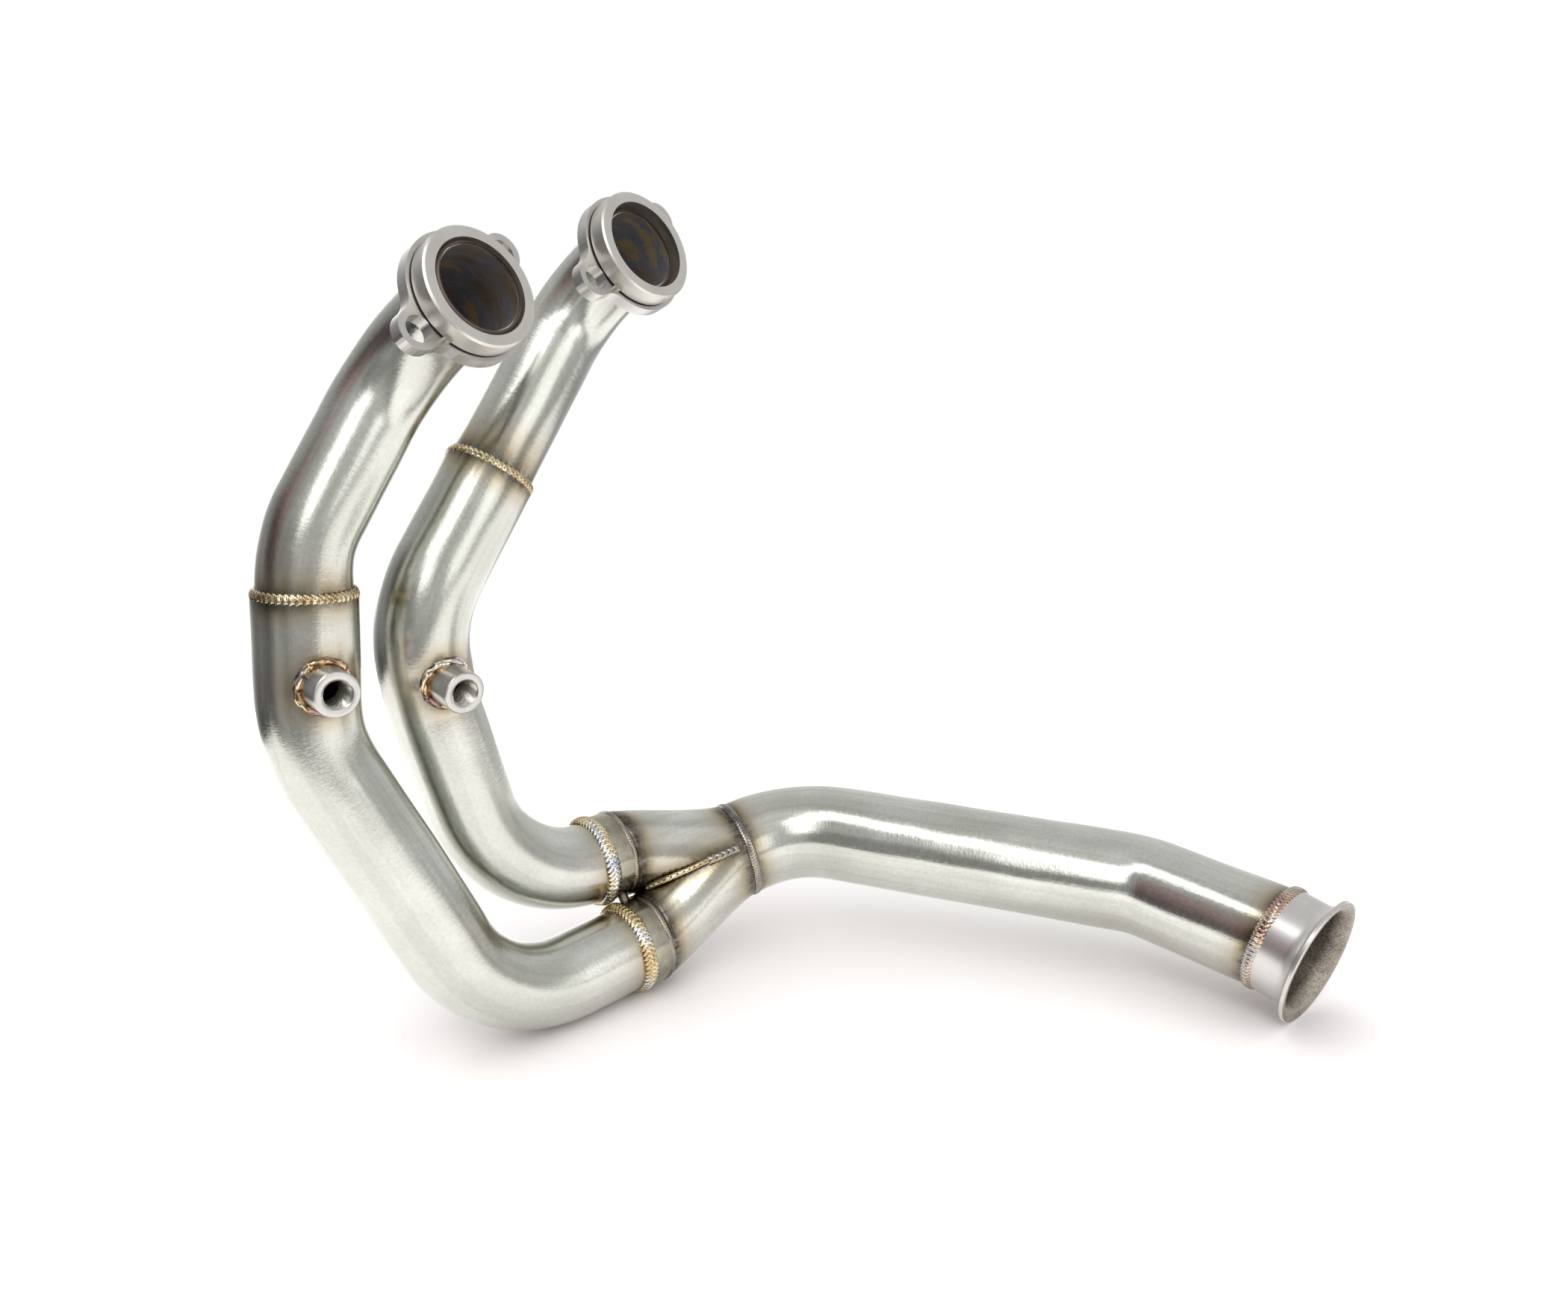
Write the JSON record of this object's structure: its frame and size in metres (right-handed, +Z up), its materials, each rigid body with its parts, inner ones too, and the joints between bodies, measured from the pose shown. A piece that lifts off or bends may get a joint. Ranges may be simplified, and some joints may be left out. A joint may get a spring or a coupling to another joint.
{
  "type": "decat pipe",
  "caption": "Two-into-one stainless exhaust pipe: flanged header pipes with sensor bosses run into a two-leg collector and a link pipe with a flared outlet ferrule.",
  "frame": {"origin": "bottom centre of the box around the pipe as it rests on a floor", "axes": "+X along the long straight of the link pipe towards the outlet, +Y away from the viewer, +Z up"},
  "size_m": [0.4496, 0.2358, 0.3853],
  "materials": {
    "pipe": "satin brushed stainless tube",
    "collar": "turned stainless",
    "flange": "cut stainless plate, striated edges",
    "boss": "turned stainless",
    "weld": "rippled weld bead with straw and blue heat tint",
    "ferrule": "blasted grey stainless"
  },
  "bodies": {
    "root": {"left_port_collar": "collar", "right_port_collar": "collar", "left_port_flange": "flange", "right_port_flange": "flange", "left_flange_tack_1": "weld", "left_flange_tack_2": "weld", "right_flange_tack_1": "weld", "right_flange_tack_2": "weld", "left_collar_weld": "weld", "right_collar_weld": "weld", "left_upper_pipe": "pipe", "right_upper_pipe": "pipe", "left_joint_weld": "weld", "right_joint_weld": "weld", "left_lower_pipe": "pipe", "right_lower_pipe": "pipe", "left_sensor_boss": "boss", "right_sensor_boss": "boss", "left_boss_weld": "weld", "right_boss_weld": "weld", "left_inlet_sleeve": "pipe", "right_inlet_sleeve": "pipe", "left_sleeve_weld": "weld", "right_sleeve_weld": "weld", "left_leg_seam": "weld", "right_leg_seam": "weld", "left_collector_leg": "pipe", "right_collector_leg": "pipe", "bridge_tack": "weld", "crotch_weld_top": "weld", "crotch_weld_bottom": "weld", "collector_outlet_weld": "weld", "link_pipe": "pipe", "ferrule_weld": "weld", "outlet_ferrule": "ferrule"}
  },
  "joints": []
}
